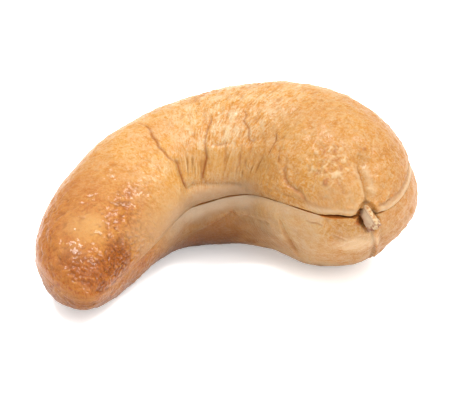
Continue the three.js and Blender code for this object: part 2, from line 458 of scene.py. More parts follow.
# A fold has the width of its valley, the depth, how much shade is painted in its bottom, how far the skin
# stands higher on its right as one follows the path, and the path.
UPPER_FOLDS = [
    # the cleft above the root tip, and the wide valley round it between the two lobes of the head
    (0.2, 0.2, 0.45, 0.07, CLEFT),
    (0.8, 0.24, 0.0, 0.0, [(8.9, -8.7, 7.2), (8.9, -7.9, 8.8), (8.75, -7.0, 10.0), (8.7, -5.0, 11.2)]),
    (1.7, 0.3, 0.0, 0.0, [(8.9, -8.5, 7.4), (8.8, -7.6, 9.2), (8.8, -5.6, 10.8)]),
    # the crease over the lip of the seam, as far as the head, and along the head
    (0.5, 0.3, 0.1, 0.0, [
        (-3.0, -1.6, 6.5), (-1.9, -0.84, 6.65), (-1.0, -0.84, 6.67), (0.37, -1.11, 6.68), (1.39, -1.32, 6.61),
        (2.03, -1.66, 6.62),
    ]),
    (0.3, 0.16, 0.1, 0.0, [
        (1.4, -1.3, 6.6), (2.35, -3.25, 7.1), (2.95, -4.27, 7.39), (3.75, -5.4, 7.5), (4.6, -6.6, 7.6),
    ]),
    # the crease where the head begins
    (0.22, 0.12, 0.6, -0.15, [
        (3.92, -3.9, 10.1), (3.75, -4.29, 9.5), (3.6, -4.44, 9.07), (3.6, -4.74, 8.62), (3.76, -5.15, 8.26),
        (4.1, -5.6, 8.1), (4.48, -6.13, 8.0), (4.74, -6.53, 7.66), (5.0, -6.9, 7.3),
    ]),
    # the long fold down from the left shoulder, and its deep lower end
    (0.18, 0.11, 0.75, 0.04, [
        (-5.0, 4.2, 9.6), (-4.73, 3.52, 9.71), (-4.35, 2.7, 9.8), (-4.2, 2.1, 9.77), (-4.25, 1.67, 9.7),
        (-4.0, 1.0, 9.48), (-4.02, 0.57, 9.29), (-3.7, 0.2, 9.06), (-3.49, -0.18, 8.75), (-3.12, -0.35, 8.49),
        (-2.71, -0.51, 8.12),
    ]),
    (0.25, 0.22, 0.9, 0.05, [
        (-3.3, -0.2, 8.7), (-2.75, -0.38, 8.3), (-2.68, -0.78, 7.75), (-2.49, -1.04, 7.13),
        (-2.33, -1.03, 6.87), (-2.0, -1.01, 6.3),
    ]),
    # the two next folds of the slope
    (0.3, 0.12, 0.65, 0.06, [
        (0.1, 2.2, 10.7), (-0.07, 1.49, 10.39), (-0.36, 1.21, 10.09), (-0.5, 0.92, 9.78), (-0.74, 0.39, 9.22),
        (-0.76, -0.06, 8.66), (-0.77, -0.26, 8.34),
    ]),
    (0.22, 0.2, 0.9, 0.05, [
        (-0.72, 0.3, 9.1), (-0.77, -0.26, 8.34), (-0.95, -0.44, 7.87), (-1.1, -0.62, 7.36),
        (-1.15, -0.8, 6.7),
    ]),
    (0.15, 0.08, 0.7, 0.0, [(1.75, -0.6, 9.6), (1.47, -1.03, 8.47), (1.3, -1.13, 7.7)]),
    (0.15, 0.1, 0.7, 0.03, [(1.75, -1.1, 8.8), (1.89, -1.39, 7.71), (1.98, -1.53, 7.18), (1.9, -1.58, 6.5)]),
    (0.3, 0.12, 0.6, 0.06, [
        (1.9, 1.6, 11.6), (2.24, 0.41, 11.09), (1.9, 0.22, 10.81), (2.05, 0.01, 10.65), (2.23, -0.35, 10.46),
        (2.1, -0.79, 9.82), (2.25, -1.2, 9.1),
    ]),
    (0.2, 0.09, 0.5, 0.0, [(0.7, 0.3, 9.9), (0.55, -0.5, 8.9), (0.35, -0.9, 7.8)]),
    # short notches along the top of the slope
    (0.15, 0.1, 0.8, 0.0, [(2.3, -0.9, 9.6), (2.25, -1.1, 9.3), (2.2, -1.25, 8.8)]),
    (0.2, 0.12, 0.7, 0.05, [(3.95, -1.6, 10.8), (3.6, -2.2, 10.2), (3.24, -2.4, 9.7), (3.1, -2.6, 9.2)]),
    (0.18, 0.12, 0.9, 0.0, [(3.75, -3.0, 10.3), (3.55, -3.5, 9.8), (3.4, -3.9, 9.3)]),
    # the hollow under the loose edge, left of the middle
    (0.2, 0.12, 0.5, 0.0, [(-0.6, 0.25, 9.15), (0.11, -0.05, 9.25), (0.6, -0.25, 9.36), (1.2, -0.42, 9.5)]),
    (0.2, 0.1, 0.5, 0.0, [(2.0, -0.8, 9.65), (2.77, -1.11, 9.89), (3.3, -1.7, 9.9)]),
    # the step across the front lobe
    (0.5, 0.15, 0.1, 0.0, [(4.88, -5.57, 9.59), (5.4, -6.06, 9.6), (5.9, -6.56, 9.48)]),
    (0.2, 0.08, 0.35, 0.0, [(6.7, -7.1, 9.5), (6.9, -7.4, 9.15), (7.1, -7.72, 8.83), (7.15, -7.9, 8.4)]),
    # the wrinkled band across the thin end
    (0.25, 0.12, 0.35, 0.0, [(-7.9, -2.6, 6.6), (-8.4, -4.0, 5.9), (-9.3, -5.2, 5.6)]),
    (0.2, 0.12, 0.5, 0.0, [(-6.5, -4.2, 5.3), (-7.3, -5.0, 5.1), (-8.2, -5.4, 5.2), (-9.6, -5.9, 5.4)]),
    (0.18, 0.1, 0.5, 0.0, [(-7.2, -5.4, 4.4), (-8.0, -6.2, 4.3), (-8.8, -6.6, 4.5), (-10.2, -6.9, 4.7)]),
    (0.18, 0.1, 0.5, 0.0, [(-8.0, -6.7, 3.7), (-9.4, -7.6, 3.8), (-10.8, -7.7, 4.2), (-11.8, -6.8, 4.9)]),
]
LOWER_FOLDS = [
    # the cleft below the root tip, with the wide valley on its right
    (0.3, 0.12, 0.15, 0.35, [
        (8.9, -8.8, 6.9), (9.2, -8.3, 5.6), (9.55, -7.6, 4.5), (9.8, -6.9, 3.6), (10.1, -5.9, 2.6),
        (10.2, -4.6, 1.6), (10.2, -3.0, 0.8),
    ]),
    (1.2, 0.4, 0.0, 0.0, [
        (9.4, -8.7, 6.6), (10.0, -7.8, 5.0), (10.4, -6.6, 3.3), (10.7, -4.9, 1.6), (10.7, -3.0, 0.8),
    ]),
    # the curved fold where the head begins
    (0.16, 0.09, 0.5, -0.18, [
        (3.2, -4.65, 5.8), (3.4, -4.65, 5.1), (3.6, -4.61, 4.43), (3.77, -4.52, 3.96), (4.03, -4.41, 3.39),
        (4.3, -4.33, 2.94), (4.61, -4.22, 2.49), (5.1, -4.1, 1.8),
    ]),
    (0.14, 0.07, 0.5, 0.05, [
        (4.7, -6.5, 6.1), (5.03, -6.83, 6.08), (5.51, -7.29, 6.15), (5.87, -7.57, 6.08),
    ]),
    (0.2, 0.06, 0.3, 0.06, [(6.2, -7.2, 4.0), (7.0, -7.6, 4.2), (7.6, -7.9, 4.9), (8.2, -8.1, 5.2)]),
    # the roof-shaped crease under the seam
    (0.2, 0.1, 0.6, 0.14, ROOF_CREASE + [(1.9, -1.3, 3.9)]),
    (0.25, 0.1, 0.4, 0.1, [(1.3, -1.2, 4.1), (2.1, -1.7, 4.2), (2.7, -2.7, 4.5), (3.1, -3.9, 4.9)]),
    # small folds under the front lobe and at its pale patch
    (0.2, 0.1, 0.3, 0.0, [(6.2, -7.6, 5.5), (7.0, -7.9, 5.1), (7.8, -7.95, 5.0)]),
    (0.3, 0.04, 0.1, 0.0, [(4.6, -6.2, 5.9), (5.3, -6.9, 5.2), (6.2, -7.3, 4.6)]),
]

# The share of a fold over which it fades at either end, the width of its core of painted shade, and how far
# it wanders.
FOLD_FADE = 0.22
FOLD_CORE = 0.09
FOLD_WANDER = 0.05

# How far the higher skin beside a fold reaches, and how wide the step up to it is.
RISE_REACH = 1.1
RISE_EDGE = 0.1

# Lines and spots that the regions of the skin are measured from

# the thin tip's lower line, its dark band, its light spots, and the gloss beside the bend
TIP_LINE = [
    (-7.0, -5.0, 2.9), (-8.4, -6.5, 2.6), (-10.1, -8.2, 3.2), (-11.0, -8.3, 3.7), (-11.9, -7.3, 4.4),
    (-12.7, -5.6, 4.9), (-12.9, -3.1, 5.3),
]
DARK_BAND = [
    (-11.9, -6.8, 4.7), (-11.0, -7.6, 4.3), (-9.8, -7.7, 3.9), (-8.6, -6.6, 4.0), (-8.0, -5.6, 4.6),
]
TIP_LIGHT_SPOT = (-10.3, -4.4, 6.3)
TIP_LIGHT_END = (-11.7, -6.0, 5.3)
SHINY_STREAK = [(-4.9, -0.8, 8.4), (-5.7, -2.0, 7.3), (-7.2, -4.1, 5.6)]
# the loose upper edge of the pleated slope
CREST = [
    (-4.4, 0.9, 8.8), (-3.6, 0.8, 8.9), (-2.9, 0.7, 8.9), (-2.14, 0.5, 8.98), (-1.1, 0.27, 8.89),
    (-0.26, -0.03, 9.04), (0.59, -0.41, 9.16), (1.51, -0.74, 9.28), (2.15, -1.07, 9.22), (2.64, -1.41, 9.22),
    (3.06, -2.6, 9.54), (3.47, -3.44, 9.77), (3.8, -4.4, 9.8), (4.2, -5.4, 9.7),
]
# the roof-shaped crease and its two slopes, with shade below them
ROOF = [(-2.4, -1.6, 1.6)] + ROOF_CREASE + [(1.9, -1.3, 3.6), (2.6, -2.0, 3.3), (3.2, -3.2, 3.4)]
# the crumbs and wrinkles of the head, and the front lobe's smooth lower end
FRONT_LOBE = (6.6, -6.3, 10.1)
HEAD_SPOT = (9.1, -5.9, 10.7)
LOBE_WRINKLES = (9.9, -7.3, 9.0)
LOBE_LIP = (6.2, -8.0, 7.2)
LOBE_FRONT = (6.6, -8.0, 8.1)
LOBE_EDGE = [(4.2, -5.9, 7.9), (5.2, -7.1, 7.6), (6.5, -8.1, 7.5), (7.9, -8.6, 7.5)]
# the pale raised patch of the lower half
PALE_PATCH = [(7.6, -7.9, 4.62), (8.4, -7.95, 4.6), (9.2, -7.75, 4.5)]
# where the root tip comes out, with the spots where the flesh is torn there and how far each one reaches
ROOT_HOLE = [(8.2, -8.5, 7.1), (8.45, -8.6, 6.7), (8.65, -8.7, 6.2)]
ROOT_SEAT = [(8.7, -8.4, 7.4), (8.9, -8.7, 6.7), (9.1, -8.7, 6.0)]
TORN_EDGES = [((8.95, -8.75, 6.0), 0.45), ((8.0, -8.6, 6.6), 0.3)]

# Places where the kernel is fuller or leaner than its sections: the spot, how much, and how far it reaches.
SWELLS = [
    ((13.2, -4.5, 5.5), 0.2, 2.2),
    ((6.6, -7.5, 8.8), 0.2, 1.7),
    ((11.2, -6.6, 9.0), 0.05, 1.2),
    ((1.5, -1.0, 3.2), -0.2, 2.0),
    ((12.3, -5.2, 2.4), -0.25, 1.9),
]

# Where the slit stands open: the spot, half the gap there, and how far it reaches along the seam.
SLIT_OPEN = [
    ((-1.0, -1.0, 5.1), 0.075, 1.1),
    ((0.8, -1.2, 5.6), 0.05, 1.6),
    ((2.6, -3.6, 6.6), 0.04, 1.5),
    ((4.4, -6.3, 6.95), 0.06, 1.5),
    ((6.6, -8.1, 6.85), 0.16, 1.1),
    ((8.1, -8.5, 6.95), 0.22, 0.6),
    ((-3.7, -2.5, 4.45), 0.05, 0.5),
    ((9.75, -8.25, 6.95), 0.08, 0.35),
    ((11.5, -7.0, 6.95), 0.02, 2.0),
]
SLIT_LEAST = 0.006
SLIT_REACH = 0.7
TORN_LIP = (6.7, -8.1, 6.85)
TORN_LIP_REACH = 1.2

# Heights and depths of the relief

LIP_DEPTH = 0.3
LIP_HEIGHT = 0.45
TIP_LINE_DEPTH = 0.07
END_CREASE_HEIGHT = 0.52
END_CREASE_DEPTH = 0.14
LOBE_EDGE_RISE = 0.07
PATCH_RISE = 0.1
HOLE_DEPTH = 0.3
SEAT_DEPTH = 0.33
BROAD_RISE = 0.09
LESS_BROAD_RISE = 0.04
FIBRE_RISE = 0.018
MIDDLE_FIBRE_RISE = 0.025
PLEAT_RISE = 0.08
LUMP_RISE = 0.035
RIPPLE_RISE = 0.055
CRUMB_RISE = 0.1
GRAIN_RISE = 0.035
LOWER_GRAIN_RISE = 0.03
WRINKLE_RISE = 0.03
WRINKLE_SPACING = 0.27
CREST_RISE = 0.06
RELIEF_SCALE = 0.05

# The ripples of the glossy flesh are long along their run and narrow across it.
RIPPLE_RUN = Vector((0.95, -0.28, -0.14)).normalized()
RIPPLE_FRAME = np.array(RIPPLE_RUN.to_track_quat("X", "Z").to_matrix())
RIPPLE_SIZE = (1.3, 0.36, 0.36)

# Streaks and pleats follow the flow of the flesh: how long the kernel is along its bend, how far it is around
# one half, the least share of that at the ends, and how far apart the noise of the two halves lies.
KERNEL_LENGTH = 38.0
AROUND = 16.5
AROUND_LEAST = 0.35
LEAF_SHIFT = 7.0
FIBRE_SIZE = (0.34, 0.75, 1)
PLEAT_SIZE = (0.5, 3.0, 1)
LUMP_SIZE = (0.9, 1.1, 1)

# The masks that the finish reads as they are.
PLAIN_MASKS = (
    "flow", "relief", "crease", "tip", "tip_dark", "tip_light", "tip_pink", "shiny", "outer", "flank",
    "slope", "lip", "low_lip", "middle", "under_roof", "head", "cleft_rim_highlight", "hole",
)


def flow_at(half, along, turn):
    """Places along and around the kernel, in millimetres: the fibres of the flesh run around it."""
    around = turn * AROUND * (AROUND_LEAST + (1 - AROUND_LEAST) * round_off(along))
    return np.stack([along * KERNEL_LENGTH, around, np.full(len(along), LEAF_SHIFT * half)], axis=1)


class Skin:
    """The skin of one half: its smooth places, the masks of its regions, from 0 to 1, how far each place is
    lifted, and the crease mask: painted shade in the bottoms of its creases, and its darker torn flesh."""

    def __init__(self, half, along, turn):
        self.half = half
        self.upper = half > 0
        self.lower = half < 0
        self.along = along
        self.turn = turn
        self.place = smooth_skin(half, along, turn)
        self.outward = outward_from(half, along, turn)
        self.size = round_off(along)
        self.flow = flow_at(half, along, turn)
        self.front = 1 - step(turn, 0.35, 0.6)
        self.rough_side = np.ones(len(along)) if self.upper else step(turn, 0.45, 0.8)
        self.ragged = self.noise(0.7, 24)
        self.patchy = 0.5 * self.noise(1.2, 5)
        self.crumbs = rough(self.place, 0.42, 13, 2)
        self.over_seam = np.abs(self.place[:, 2] - seam_height(along, turn))
        self.soft_seam = self.over_seam + 0.3 * self.noise(1.4, 15)
        wander = np.stack([self.noise(0.5, seed) for seed in (21, 22, 23)], axis=1)
        self.wandering = self.place + FOLD_WANDER * wander
        self.lift = np.zeros(len(along))
        self.crease = np.zeros(len(along))

    def noise(self, size, seed):
        """Unevenness in patches of about that many millimetres. Each seed gives a pattern of its own."""
        return unevenness(self.place, size, seed)

    def roll_lips(self):
        """The skin rolls in towards the slit, less so round the tip and on the convex side."""
        rolled = 0.1 + 0.9 * step(self.along, 0.17, 0.33)
        concave = 1 - 0.7 * step(self.turn, 0.4, 0.6)
        self.lift -= LIP_DEPTH * rolled * self.size * hill(self.over_seam, LIP_HEIGHT) * concave

    def fold(self, folds):
        """Press the folds in, each with a narrow core of painted shade, and raise the skin on one side of
        some.
        """
        for width, depth, dark, rise, path in folds:
            distance, share, apart, run = near_path(self.wandering, path)
            fade = step(np.minimum(share, 1 - share), 0, FOLD_FADE)
            core = max(FOLD_CORE, width / 3)
            self.lift -= depth * fade * (0.6 * hill(distance, width) + 0.4 * hill(distance, core))
            self.crease = np.maximum(self.crease, dark * fade * hill(distance, FOLD_CORE))
            if rise:
                right = np.sum(np.cross(run, self.outward) * apart, axis=1)
                self.lift += rise * fade * step(-right, -RISE_EDGE, RISE_EDGE) * hill(distance, RISE_REACH)

    def mark_tip(self):
        """The thin tip: its dark band, its light spots, the flesh below its lower line, and its gloss."""
        self.tip = 1 - step(self.along + 0.03 * self.noise(2.0, 4), 0.1, 0.34)
        self.tip_dark = self.upper * within(path_gap(self.place, DARK_BAND) + 0.7 * self.patchy, 0.6, 0.6)
        light_spot = within(spot_gap(self.place, TIP_LIGHT_SPOT) + self.patchy, 0.5, 1.1)
        light_end = 0.8 * hill(spot_gap(self.place, TIP_LIGHT_END) + self.patchy, 1.0)
        self.tip_light = np.maximum(light_spot, light_end)
        line_gap, _, line_apart, _ = near_path(self.wandering, TIP_LINE)
        self.tip_pink = self.tip * step(-line_apart[:, 2], -0.05, 0.3)
        self.lift -= TIP_LINE_DEPTH * self.tip * hill(line_gap, 0.25)
        self.shiny = hill(path_gap(self.place, SHINY_STREAK) + 0.6 * self.patchy, 0.9)
        self.outer = self.upper * (1 - step(self.along, 0.15, 0.38))
        self.outer *= step(self.turn + 0.05 * self.ragged, 0.42, 0.62)

    def mark_slope(self):
        """The pleated slope below its ragged crest, the pale lips of the slit, and the flank by the tip."""
        crest_gap, share, apart, _ = near_path(self.wandering, CREST)
        ends = step(share + 0.04 * self.ragged, 0, 0.3) * step(1 - share + 0.04 * self.ragged, 0, 0.3)
        below = step(-apart[:, 2] + 0.25 * self.ragged, -0.3, 0.7) * ends
        self.slope = self.upper * self.front * below * within(crest_gap, 1.3, 0.9)
        self.crest_edge = self.upper * self.front * ends * (1 - below) * hill(crest_gap, 0.35)
        self.lip = self.front * within(self.soft_seam, 0.7, 0.6) * plateau(self.along, 0.14, 0.36, 0.8, 0.93)
        self.flank = self.upper * self.front * (1 - step(self.soft_seam, 1.4, 3.0))
        self.flank *= plateau(self.along, 0.05, 0.12, 0.36, 0.48)
        self.middle = self.rough_side * plateau(self.along, 0.4, 0.5, 0.7, 0.86)
        self.middle *= (1 - self.slope) * (1 - self.lip)

    def mark_head(self):
        """The thick head: its crumbs, painted highlights along the rims of its cleft, and the shade under the
        roof crease.
        """
        self.head = step(self.along + 0.02 * self.ragged, 0.68, 0.84)
        lobe_gap = spot_gap(self.place, FRONT_LOBE) + 0.35 * self.noise(1.0, 6)
        head_spot = hill(spot_gap(self.place, HEAD_SPOT), 0.5)
        self.crumb = self.upper * np.maximum(within(lobe_gap, 1.2, 0.5), head_spot)
        cleft_gap, share, apart, _ = near_path(self.wandering, CLEFT)
        # painted highlights along the two edges of the cleft
        rim_highlights = np.where(apart[:, 0] < 0, hill(cleft_gap - 0.3, 0.13), hill(cleft_gap - 0.5, 0.25))
        self.cleft_rim_highlight = self.upper * plateau(share, 0.15, 0.35, 0.75, 1) * rim_highlights
        roof_gap, _, roof_apart, _ = near_path(self.wandering, ROOF)
        self.under_roof = self.lower * self.front * step(-roof_apart[:, 2] + 0.12 * self.ragged, 0.0, 0.16)
        self.under_roof *= within(roof_gap, 1.6, 1.0)

    def ripples(self):
        sway = 0.16 * self.noise(1.1, 8)[:, None]
        spots = (self.place + sway) @ RIPPLE_FRAME / RIPPLE_SIZE
        ridges = 1.5 * np.abs(unevenness(spots, 1.0, 9)) - 0.5 + 0.6 * unevenness(spots, 0.6, 10)
        return ridges + 0.35 * self.noise(0.22, 29)

    def roughen(self):
        """The unevenness, fibres, pleats, lumps, ripples, crumbs and wrinkles of the flesh."""
        broad = BROAD_RISE * self.noise(2.8, 1) + LESS_BROAD_RISE * self.noise(1.3, 2)
        fibres = rough(self.flow / FIBRE_SIZE + 0.25 * self.noise(0.7, 19)[:, None], 1.0, 11, 2)
        self.lumps = rough(self.flow / LUMP_SIZE, 1.0, 27, 3)
        self.pleats = rough(self.flow / PLEAT_SIZE + 0.5 * self.noise(1.1, 25)[:, None], 1.0, 12, 2)
        self.pleats *= 0.75 + 0.6 * self.noise(0.8, 26)
        plain = (1 - self.lip) * (1 - 0.5 * self.slope)
        fine = (FIBRE_RISE + MIDDLE_FIBRE_RISE * self.middle) * fibres * plain
        fine += PLEAT_RISE * self.slope * (1 - 0.6 * self.lip) * self.pleats
        fine += LUMP_RISE * self.middle * self.lumps
        rippled = self.tip * (1 - 0.7 * self.tip_light) * (1 - 0.4 * self.tip_pink)
        rippled = np.maximum(rippled, 0.8 * self.shiny) * (1 + 0.5 * self.tip_dark)
        fine += RIPPLE_RISE * rippled * self.ripples()
        fine += CRUMB_RISE * self.crumb * (np.abs(self.crumbs) * 1.8 - 0.4)
        grainy = self.rough_side * plain * (1 + 0.7 * self.head)
        fine += GRAIN_RISE * grainy * rough(self.place, 0.55, 17, 3)
        fine += LOWER_GRAIN_RISE * self.lower * rough(self.place, 0.9, 18, 3)
        wrinkle_gap = spot_gap(self.place, LOBE_WRINKLES) + 0.1 * self.noise(0.9, 7)
        wrinkled = self.upper * step(self.place[:, 0], 9.8, 10.6) * plateau(wrinkle_gap, 0.6, 1.4, 2.7, 3.4)
        waves = np.sin(2 * np.pi * (wrinkle_gap + 0.1 * self.ragged) / WRINKLE_SPACING)
        fine += WRINKLE_RISE * wrinkled * waves
        fine += CREST_RISE * self.crest_edge * (1 + 1.5 * self.crumbs)
        self.lift += (broad + fine) * step(self.over_seam, 0, 0.5)
        self.relief = fine / RELIEF_SCALE

    def shape_lips(self):
        """The edge and lip of the front lobe, the crease and lip of the end, and the lower half's lip."""
        self.lobe_lip = self.upper * hill(self.over_seam - 0.3, 0.2)
        self.lobe_lip *= within(spot_gap(self.place, LOBE_LIP), 1.4, 0.6)
        self.lobe_front = self.upper * within(spot_gap(self.place, LOBE_FRONT), 0.9, 0.9)
        end_side = self.upper * step(self.place[:, 0], 9.3, 9.9) * (1 - step(self.place[:, 1], -4.5, -2.0))
        from_crease = self.over_seam + 0.08 * self.ragged - END_CREASE_HEIGHT
        self.end_lip = end_side * (1 - step(from_crease, -0.1, 0.1))
        end_crease = end_side * hill(from_crease, 0.12)
        self.lift -= END_CREASE_DEPTH * end_crease
        # painted shade in the end crease
        self.crease = np.maximum(self.crease, 0.3 * end_crease)
        self.lobe_edge = self.upper * hill(path_gap(self.wandering, LOBE_EDGE), 0.28)
        self.lift += LOBE_EDGE_RISE * self.lobe_edge
        self.low_lip = self.lower * self.front * (1 - step(self.soft_seam, 0.0, 1.1))
        fainter = 0.5 * step(self.along + 0.03 * self.ragged, 0.76, 0.92)
        self.low_lip *= step(self.along, 0.2, 0.45) * (1 - fainter)

    def raise_patch(self):
        """The pale raised patch beside the lower cleft, which ends at the cleft's slanting line."""
        patch_gap = path_gap(self.wandering, PALE_PATCH) + 0.3 * self.noise(0.9, 16)
        past_cleft = self.place[:, 0] - 0.3 * (5.5 - self.place[:, 2])
        self.patch = self.lower * (1 - step(patch_gap, 0.0, 1.5)) * (1 - step(past_cleft, 9.35, 9.75))
        self.lift += PATCH_RISE * self.patch

    def swell(self):
        for spot, amount, reach in SWELLS:
            self.lift += amount * hill(spot_gap(self.place, spot), reach)

    def open_hole(self):
        """The hole beside the root tip, the seat that the tip lies in, and the torn flesh at their edge."""
        hole = 1 - step(path_gap(self.place, ROOT_HOLE) + 0.1 * self.crumbs, 0.15, 0.45)
        seat = 1 - step(path_gap(self.place, ROOT_SEAT), 0.45, 0.75)
        torn = sum(hill(spot_gap(self.place, spot) + 0.3 * self.crumbs, reach) for spot, reach in TORN_EDGES)
        self.lift -= HOLE_DEPTH * hole + SEAT_DEPTH * seat
        self.crease = np.maximum(self.crease, 0.9 * np.clip(torn, 0, 1))
        # the hole gets painted shade, and the seat of the root tip half as much
        self.hole = np.maximum(hole, 0.5 * seat)

    def slit_gap(self):
        """Half the width of the slit near each place. It is torn wider under the front lobe."""
        gap = np.full(len(self.place), SLIT_LEAST)
        for spot, half_gap, reach in SLIT_OPEN:
            gap = np.maximum(gap, half_gap * hill(spot_gap(self.place, spot), reach))
        torn = 0.5 + 0.5 * self.noise(0.45, 14)
        return gap * (1 + 0.5 * torn * self.upper * hill(spot_gap(self.place, TORN_LIP), TORN_LIP_REACH))

    def lifted(self):
        """The finished places. Nothing reaches below the floor."""
        place = self.place + self.outward * self.lift[:, None]
        place[:, 2] += self.half * self.slit_gap() * hill(self.over_seam, SLIT_REACH)
        if self.lower:
            place[:, 2] = np.maximum(place[:, 2], 0)
        return place

    def masks(self, place):
        """What the finish reads at each finished place."""
        facing_down = step(-self.outward[:, 2], -0.3, 0.7)
        pale_parts = [0.8 * self.end_lip, 0.8 * self.lobe_lip, 0.3 * self.low_lip, self.patch]
        masks = {name: getattr(self, name) for name in PLAIN_MASKS}
        masks.update({
            "pleats": self.slope * self.pleats,
            "lumps": self.middle * self.lumps,
            "crumbs": self.crumb * self.crumbs,
            "right": self.rough_side * step(place[:, 0] + 0.5 * self.patchy, 8.5, 12.5),
            # painted shade on the skin that faces down, fainter towards the head
            "low": facing_down * (1 - 0.75 * step(place[:, 0] + self.ragged, 0.5, 5.0)),
            "low_front": self.lower * self.front * self.head,
            "crumb_land": self.rough_side * (1 - self.lobe_front),
            "smooth": np.maximum(self.lobe_front, 1.5 * self.lobe_edge),
            "pale": np.maximum.reduce(pale_parts),
            "inside": np.zeros(len(place)),
        })
        return masks


def skin(half, along, turn):
    """The finished skin of one half, and the masks that its finish uses."""
    made = Skin(half, along, turn)
    made.roll_lips()
    made.fold(UPPER_FOLDS if half > 0 else LOWER_FOLDS)
    made.mark_tip()
    made.mark_slope()
    made.mark_head()
    made.roughen()
    made.shape_lips()
    made.raise_patch()
    made.swell()
    made.open_hole()
    place = made.lifted()
    return place, made.masks(place)


# Meshes

TIP_STEPS = 90
MIDDLE_STEPS = 340
HEAD_STEPS = 90
SKIN_STEPS = 170
FACE_STEPS = 14


def make_mesh(name, points, quads, corners, masks, material):
    """An object of quads and triangles, from points in millimetres, with its masks as attributes."""
    mesh = bpy.data.meshes.new(name)
    loops = np.concatenate([quads.ravel(), corners.ravel()]).astype(np.int32)
    sizes = np.concatenate([np.full(len(quads), 4), np.full(len(corners), 3)]).astype(np.int32)
    starts = np.concatenate([[0], np.cumsum(sizes)[:-1]]).astype(np.int32)
    mesh.vertices.add(len(points))
    mesh.vertices.foreach_set("co", (points * METRES).astype(np.float32).ravel())
    mesh.loops.add(len(loops))
    mesh.loops.foreach_set("vertex_index", loops)
    mesh.polygons.add(len(sizes))
    mesh.polygons.foreach_set("loop_start", starts)
    mesh.polygons.foreach_set("use_smooth", np.ones(len(sizes), bool))
    mesh.update(calc_edges=True)
    mesh.validate()
    for label, values in masks.items():
        kind, field = ("FLOAT_VECTOR", "vector") if values.ndim > 1 else ("FLOAT", "value")
        attribute = mesh.attributes.new(label, kind, "POINT")
        attribute.data.foreach_set(field, values.astype(np.float32).ravel())
    mesh.materials.append(material)
    made = bpy.data.objects.new(name, mesh)
    bpy.context.collection.objects.link(made)
    return made


def steps_along():
    """Places from tip to head, closer together towards the two round ends."""
    tip = TIP_CAP * (1 - np.cos(np.pi / 2 * np.arange(1, TIP_STEPS) / TIP_STEPS))
    middle = np.linspace(TIP_CAP, 1 - HEAD_CAP, MIDDLE_STEPS + 1)
    head = 1 - HEAD_CAP * (1 - np.cos(np.pi / 2 * np.arange(HEAD_STEPS - 1, 0, -1) / HEAD_STEPS))
    return np.concatenate([tip, middle, head])


def closed_loft(rings):
    """Points, quads and triangles of a closed form, from its rings and a middle point at either end."""
    count, around = rings.shape[:2]
    points = np.vstack([rings.reshape(-1, 3), rings[0].mean(axis=0), rings[-1].mean(axis=0)])
    ring, spot = np.meshgrid(np.arange(count - 1), np.arange(around), indexing="ij")
    here, there = ring * around, (ring + 1) * around
    after = (spot + 1) % around
    quads = np.stack([here + spot, here + after, there + after, there + spot], axis=-1).reshape(-1, 4)
    spots = np.arange(around)
    nexts = (spots + 1) % around
    first = np.stack([np.full(around, count * around), nexts, spots], axis=-1)
    base = (count - 1) * around
    last = np.stack([np.full(around, count * around + 1), base + spots, base + nexts], axis=-1)
    return points, quads, np.vstack([first, last])


def make_half(name, half, material):
    """One seed leaf: its skin, and the face that closes it between its two seams."""
    along = steps_along()
    turn = np.linspace(0, 1, SKIN_STEPS + 1)
    place, masks = skin(half, np.repeat(along, len(turn)), np.tile(turn, len(along)))
    shares = (1 - np.cos(np.pi * np.arange(1, FACE_STEPS) / FACE_STEPS))[None, :, None] / 2

    def with_face(values, inner=None):
        """Rings of values over the skin and over the inner face, which has one value where inner is given."""
        skin_part = values.reshape(len(along), len(turn), -1)
        face = skin_part[:, -1:] + (skin_part[:, :1] - skin_part[:, -1:]) * shares
        if inner is not None:
            face = np.full_like(face, inner)
        rings = np.concatenate([skin_part, face], axis=1)
        return rings[:, ::-1] if half > 0 else rings

    points, quads, corners = closed_loft(with_face(place))
    for label, values in masks.items():
        spread = with_face(values, None if label == "flow" else float(label == "inside"))
        ends = [spread[0].mean(axis=0), spread[-1].mean(axis=0)]
        flat = np.vstack([spread.reshape(-1, spread.shape[2]), ends])
        masks[label] = flat if values.ndim > 1 else flat[:, 0]
    return make_mesh(name, points, quads, corners, masks, material)


# The root tip: a dry stub with a flat cut side, which bends over and ends in a broken, crumbly tip

ROOT_PATH = [(8.6, -6.4, 7.1), (8.6, -7.6, 7.25), (8.66, -8.35, 7.1), (8.87, -8.75, 6.7), (9.15, -8.87, 6.2)]
ROOT_RADIUS = 0.42
ROOT_START = 0.55
ROOT_SWELL = 0.2
ROOT_STEPS = 90
ROOT_END_STEPS = 12
ROOT_SIDES = 72
ROOT_FACE = (-0.62, -0.74, 0.26)
ROOT_FACE_AT = 0.66
ROOT_BUMPS = 0.03
BROKEN_BUMPS = 0.13
BROKEN_DROP = 0.16


def root_frame():
    """Along the root tip: the share of its length, its middle, its heading, the way that its cut side faces,
    and its radius. It closes in a round end."""
    share = np.append(np.linspace(0, 1, ROOT_STEPS + 1), np.ones(ROOT_END_STEPS))
    end_angle = np.pi / 2 * np.arange(1, ROOT_END_STEPS + 1) / (ROOT_END_STEPS + 0.5)
    close = np.append(np.ones(ROOT_STEPS + 1), np.cos(end_angle))
    centre = curve_through(ROOT_PATH, share)
    heading = centre - curve_through(ROOT_PATH, share - NUDGE)
    heading[0] = centre[1] - centre[0]
    heading /= np.linalg.norm(heading, axis=1, keepdims=True)
    face = np.tile(ROOT_FACE, (len(share), 1))
    face -= np.sum(face * heading, axis=1, keepdims=True) * heading
    face /= np.linalg.norm(face, axis=1, keepdims=True)
    growth = ROOT_START + (1 - ROOT_START) * step(share, 0.1, 0.5)
    radius = ROOT_RADIUS * close * growth * (1 + ROOT_SWELL * step(share, 0.5, 0.8))
    return share, centre, heading, face, radius


